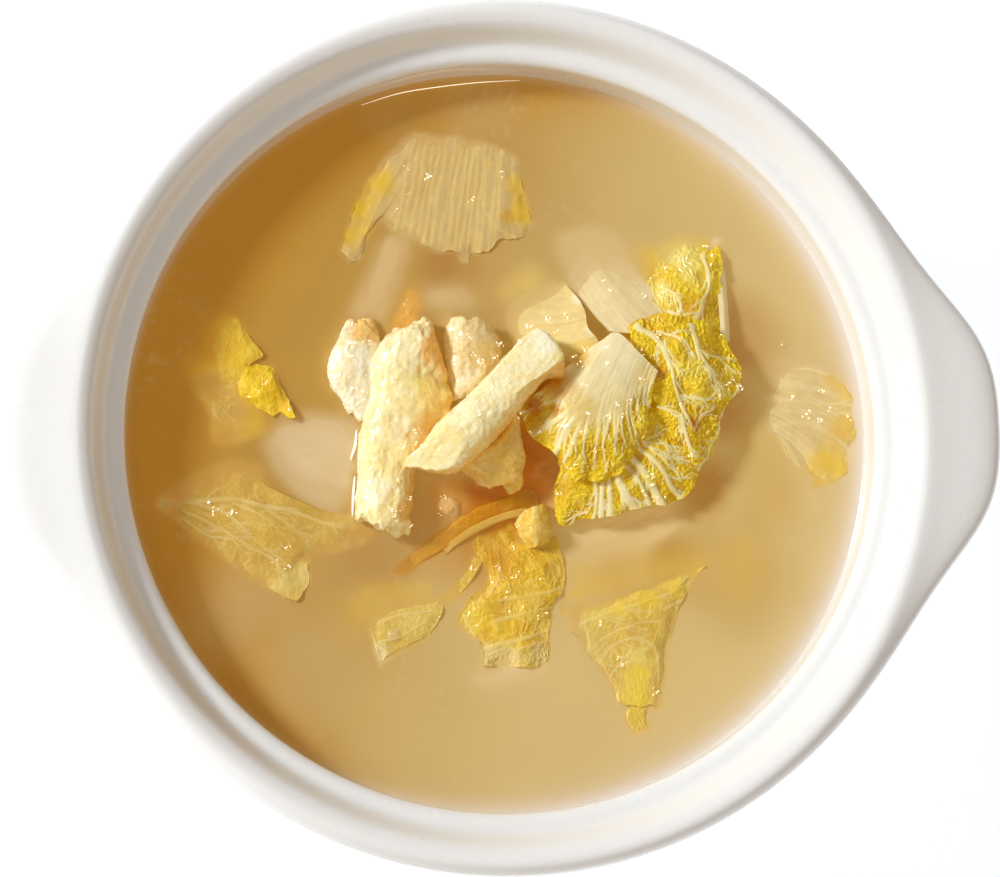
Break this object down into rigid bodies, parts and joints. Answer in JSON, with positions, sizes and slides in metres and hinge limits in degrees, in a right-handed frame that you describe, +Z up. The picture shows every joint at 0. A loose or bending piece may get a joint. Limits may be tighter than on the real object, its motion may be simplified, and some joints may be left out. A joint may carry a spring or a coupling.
{
  "type": "pickled cabbage hot pot",
  "caption": "White glazed casserole with two lug handles, filled with golden broth in which battered pork strips and pieces of yellow napa cabbage float.",
  "frame": {"origin": "middle of the underside of the pot's foot ring", "axes": "+Z up; +X towards one lug handle; +Y away from the diner"},
  "size_m": [0.2622, 0.23, 0.094],
  "materials": {
    "white_glaze": "warm white glaze, glossy and smooth",
    "broth": "cloudy golden broth with a wet sheen",
    "batter": "pale fried batter, wet, with browned ridges and small dark specks",
    "cabbage_leaf": "wet, crinkled yellow leaf with pale veins",
    "cabbage_rib": "wet, pale, finely ribbed leaf stalk"
  },
  "bodies": {
    "root": {"pot": "white_glaze", "broth": "broth", "pork_strip_cross": "batter", "pork_strip_long": "batter", "pork_lump_front": "batter", "pork_lump_back": "batter", "pork_lump_left": "batter", "leaf_fan": "cabbage_leaf", "leaf_frill": "cabbage_leaf", "leaf_under": "cabbage_leaf", "leaf_upper": "cabbage_leaf", "stem_striped": "cabbage_rib", "stem_pale": "cabbage_rib", "leaf_curl": "cabbage_leaf", "leaf_bottom_mid": "cabbage_leaf", "leaf_rib_top": "cabbage_rib", "leaf_left": "cabbage_leaf", "leaf_lower_left": "cabbage_leaf", "leaf_right": "cabbage_rib", "leaf_bottom": "cabbage_leaf", "leaf_small": "cabbage_leaf"}
  },
  "joints": []
}
